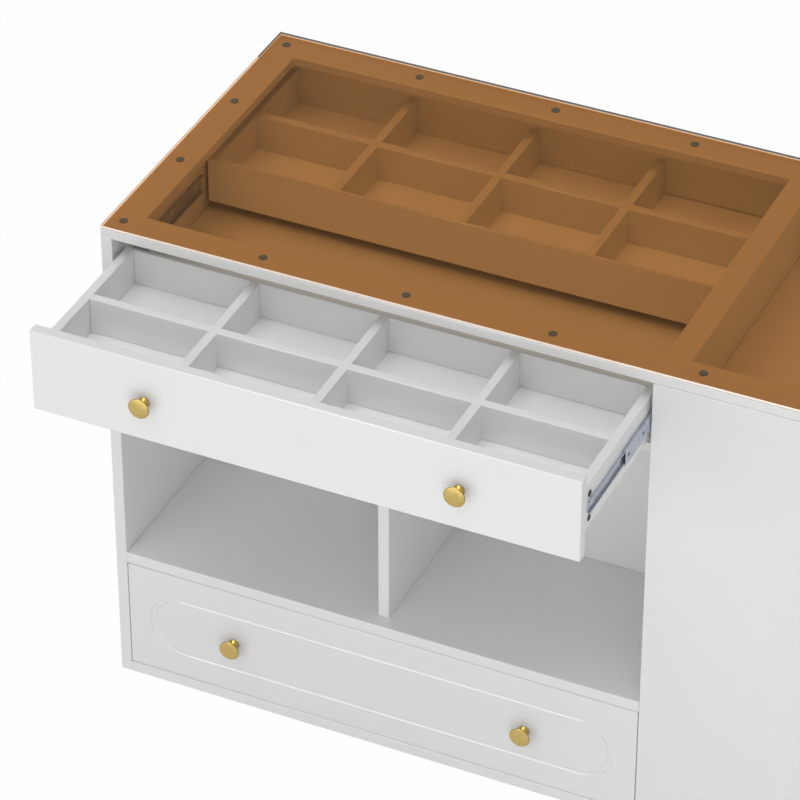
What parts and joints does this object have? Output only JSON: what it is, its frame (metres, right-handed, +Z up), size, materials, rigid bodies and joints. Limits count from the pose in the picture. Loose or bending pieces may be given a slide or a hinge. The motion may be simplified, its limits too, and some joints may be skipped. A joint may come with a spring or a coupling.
{
  "type": "closet island with drawers",
  "caption": "Double-sided white closet island with divided glass-topped drawers, open cubbies, deep grooved drawers on runners and an open end bay.",
  "frame": {"origin": "centre of the footprint on the ground, under the bottom panel", "axes": "+X along the island towards its open end bay, +Y from the front side to the rear side, +Z up"},
  "size_m": [1.186, 0.8922, 0.839],
  "materials": {
    "white_lacquer": "satin white lacquer on board",
    "tinted_glass": "brown tinted, polished edges",
    "brass": "turned and brushed",
    "runner_steel": "rolled, zinc plated"
  },
  "bodies": {
    "root": {"left_side_panel": "white_lacquer", "partition_panel": "white_lacquer", "bottom_panel": "white_lacquer", "end_front_panel": "white_lacquer", "end_rear_panel": "white_lacquer", "middle_shelf": "white_lacquer", "dust_panel": "white_lacquer", "end_bay_floor": "white_lacquer", "end_shelf": "white_lacquer", "cubby_back_panel": "white_lacquer", "cubby_divider_front": "white_lacquer", "cubby_divider_rear": "white_lacquer", "top_frame": "white_lacquer", "glass_top": "tinted_glass", "upper_front_runner_outer_left": "runner_steel", "upper_front_runner_outer_right": "runner_steel", "upper_rear_runner_outer_left": "runner_steel", "upper_rear_runner_outer_right": "runner_steel"},
    "upper_front_drawer": {"upper_front_drawer_front": "white_lacquer", "upper_front_drawer_side_left": "white_lacquer", "upper_front_drawer_side_right": "white_lacquer", "upper_front_drawer_back": "white_lacquer", "upper_front_drawer_floor": "white_lacquer", "upper_front_drawer_dividers": "white_lacquer", "upper_front_knob_left": "brass", "upper_front_knob_right": "brass", "upper_front_runner_inner_left": "runner_steel", "upper_front_runner_inner_right": "runner_steel"},
    "upper_front_runner": {"upper_front_runner_middle_left": "runner_steel", "upper_front_runner_middle_right": "runner_steel"},
    "upper_rear_drawer": {"upper_rear_drawer_front": "white_lacquer", "upper_rear_drawer_side_left": "white_lacquer", "upper_rear_drawer_side_right": "white_lacquer", "upper_rear_drawer_back": "white_lacquer", "upper_rear_drawer_floor": "white_lacquer", "upper_rear_drawer_dividers": "white_lacquer", "upper_rear_knob_left": "brass", "upper_rear_knob_right": "brass", "upper_rear_runner_inner_left": "runner_steel", "upper_rear_runner_inner_right": "runner_steel"},
    "upper_rear_runner": {"upper_rear_runner_middle_left": "runner_steel", "upper_rear_runner_middle_right": "runner_steel"},
    "lower_front_drawer": {"lower_front_drawer_front": "white_lacquer", "lower_front_drawer_side_left": "white_lacquer", "lower_front_drawer_side_right": "white_lacquer", "lower_front_drawer_back": "white_lacquer", "lower_front_drawer_floor": "white_lacquer", "lower_front_knob_left": "brass", "lower_front_knob_right": "brass"},
    "lower_front_runner": {"lower_front_runner_middle_left": "runner_steel", "lower_front_runner_middle_right": "runner_steel"},
    "lower_rear_drawer": {"lower_rear_drawer_front": "white_lacquer", "lower_rear_drawer_side_left": "white_lacquer", "lower_rear_drawer_side_right": "white_lacquer", "lower_rear_drawer_back": "white_lacquer", "lower_rear_drawer_floor": "white_lacquer", "lower_rear_knob_left": "brass", "lower_rear_knob_right": "brass"},
    "lower_rear_runner": {"lower_rear_runner_middle_left": "runner_steel", "lower_rear_runner_middle_right": "runner_steel"}
  },
  "joints": [
    {"name": "upper_front_slide", "type": "slide", "parent": "root", "child": "upper_front_drawer", "axis": [0, -1, 0], "range_m": [-0.25125, 0]},
    {"name": "upper_front_runner_slide", "type": "slide", "parent": "root", "child": "upper_front_runner", "axis": [0, -1, 0], "range_m": [-0.12562, 0]},
    {"name": "upper_rear_slide", "type": "slide", "parent": "root", "child": "upper_rear_drawer", "axis": [0, 1, 0], "range_m": [0, 0.25125]},
    {"name": "upper_rear_runner_slide", "type": "slide", "parent": "root", "child": "upper_rear_runner", "axis": [0, 1, 0], "range_m": [0, 0.12562]},
    {"name": "lower_front_slide", "type": "slide", "parent": "root", "child": "lower_front_drawer", "axis": [0, -1, 0], "range_m": [0, 0.25125]},
    {"name": "lower_front_runner_slide", "type": "slide", "parent": "root", "child": "lower_front_runner", "axis": [0, -1, 0], "range_m": [0, 0.12562]},
    {"name": "lower_rear_slide", "type": "slide", "parent": "root", "child": "lower_rear_drawer", "axis": [0, 1, 0], "range_m": [0, 0.25125]},
    {"name": "lower_rear_runner_slide", "type": "slide", "parent": "root", "child": "lower_rear_runner", "axis": [0, 1, 0], "range_m": [0, 0.12562]}
  ],
  "couplings": [
    {"joint": "upper_front_runner_slide", "follows": "upper_front_slide", "ratio": 0.5},
    {"joint": "upper_rear_runner_slide", "follows": "upper_rear_slide", "ratio": 0.5},
    {"joint": "lower_front_runner_slide", "follows": "lower_front_slide", "ratio": 0.5},
    {"joint": "lower_rear_runner_slide", "follows": "lower_rear_slide", "ratio": 0.5}
  ]
}
